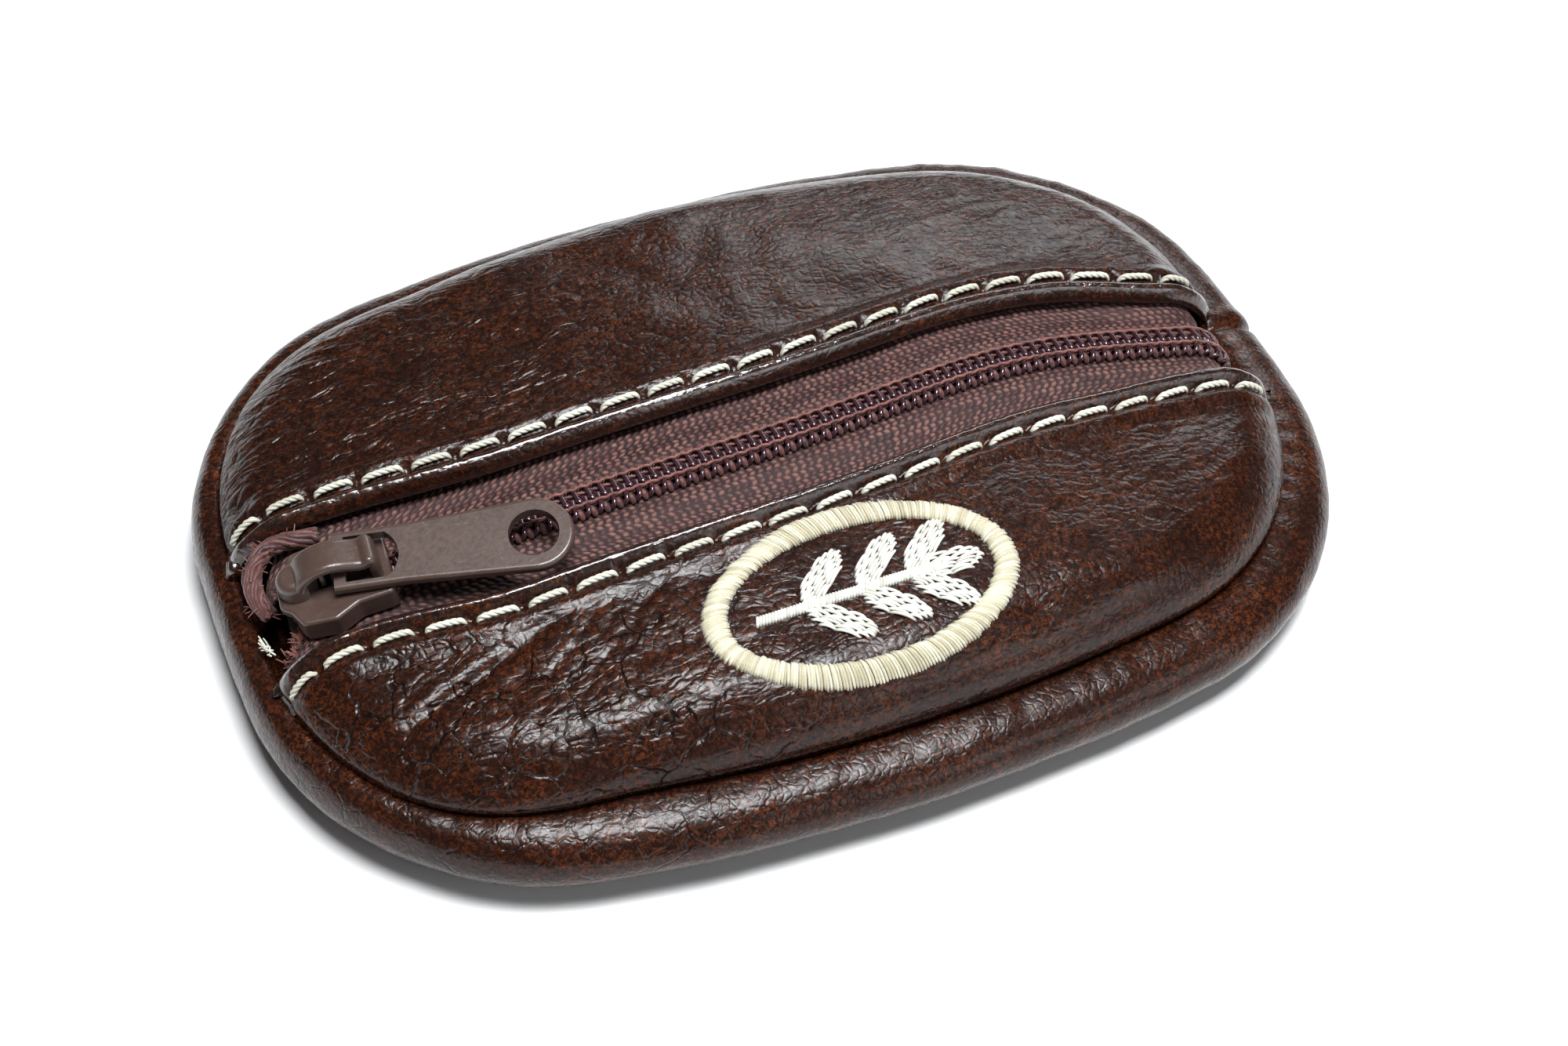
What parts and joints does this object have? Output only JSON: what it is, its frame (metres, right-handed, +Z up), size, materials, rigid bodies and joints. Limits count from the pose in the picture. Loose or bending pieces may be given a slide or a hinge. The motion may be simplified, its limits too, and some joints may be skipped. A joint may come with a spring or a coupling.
{
  "type": "zippered pouch",
  "caption": "Small oval leather coin pouch with a rolled side band, crowned top split by a coil zip, topstitching, and an embroidered ring and sprig",
  "frame": {"origin": "centre of the pouch's plan outline, on the surface it rests on", "axes": "+X along the zip, from the closed slider's end to the far end; +Y to the back, away from the embroidered panel; +Z up"},
  "size_m": [0.114, 0.082, 0.0197],
  "materials": {
    "leather": "glossy",
    "stitching": "matte",
    "embroidery": "satin",
    "seam_thread": "matte",
    "tape": "matte",
    "coil": "glossy",
    "zip_thread": "matte",
    "slider_paint": "satin",
    "spring_steel": "satin"
  },
  "bodies": {
    "root": {"bottom_panel": "leather", "side_band": "leather", "front_panel": "leather", "rear_panel": "leather", "topstitch_front": "stitching", "topstitch_rear": "stitching", "emblem_ring": "embroidery", "emblem_sprig": "embroidery", "top_seam_thread": "seam_thread", "bottom_seam_thread": "seam_thread", "band_join_thread": "seam_thread"},
    "mouth_front": {"tape_front": "tape", "coil_front": "coil", "coil_core_front": "zip_thread", "coil_thread_front": "zip_thread"},
    "mouth_rear": {"tape_rear": "tape", "coil_rear": "coil", "coil_core_rear": "zip_thread", "coil_thread_rear": "zip_thread"},
    "slider": {"slider_body": "slider_paint", "slider_cap": "slider_paint"},
    "pull": {"pull_tab": "slider_paint"},
    "pin": {"lock_pawl": "spring_steel"}
  },
  "joints": [
    {"name": "slider_travel", "type": "hinge", "parent": "root", "child": "slider", "pos_m": [0, -0.004, -0.2612], "axis": [0, 1, 0], "range_deg": [0, 17.5], "deforming": ["coil_front", "coil_rear", "coil_core_front", "coil_core_rear", "coil_thread_front", "coil_thread_rear"]},
    {"name": "mouth_front_part", "type": "slide", "parent": "root", "child": "mouth_front", "axis": [0, -1, 0], "range_m": [0, 0.005]},
    {"name": "mouth_rear_part", "type": "slide", "parent": "root", "child": "mouth_rear", "axis": [0, 1, 0], "range_m": [0, 0.005]},
    {"name": "pull_flip", "type": "hinge", "parent": "slider", "child": "pull", "pos_m": [-0.04529, -0.00385, 0.01658], "axis": [-0.1031, -0.9945, -0.0172], "range_deg": [0, 160]},
    {"name": "pin_lift", "type": "hinge", "parent": "slider", "child": "pin", "pos_m": [-0.04841, -0.00387, 0.01632], "axis": [-0.1031, -0.9945, -0.0172], "range_deg": [0, 8], "stiffness_Nm_per_rad": 0.002}
  ],
  "couplings": [
    {"joint": "mouth_front_part", "follows": "slider_travel", "m_per_rad": 0.016354},
    {"joint": "mouth_rear_part", "follows": "slider_travel", "m_per_rad": 0.016354}
  ]
}
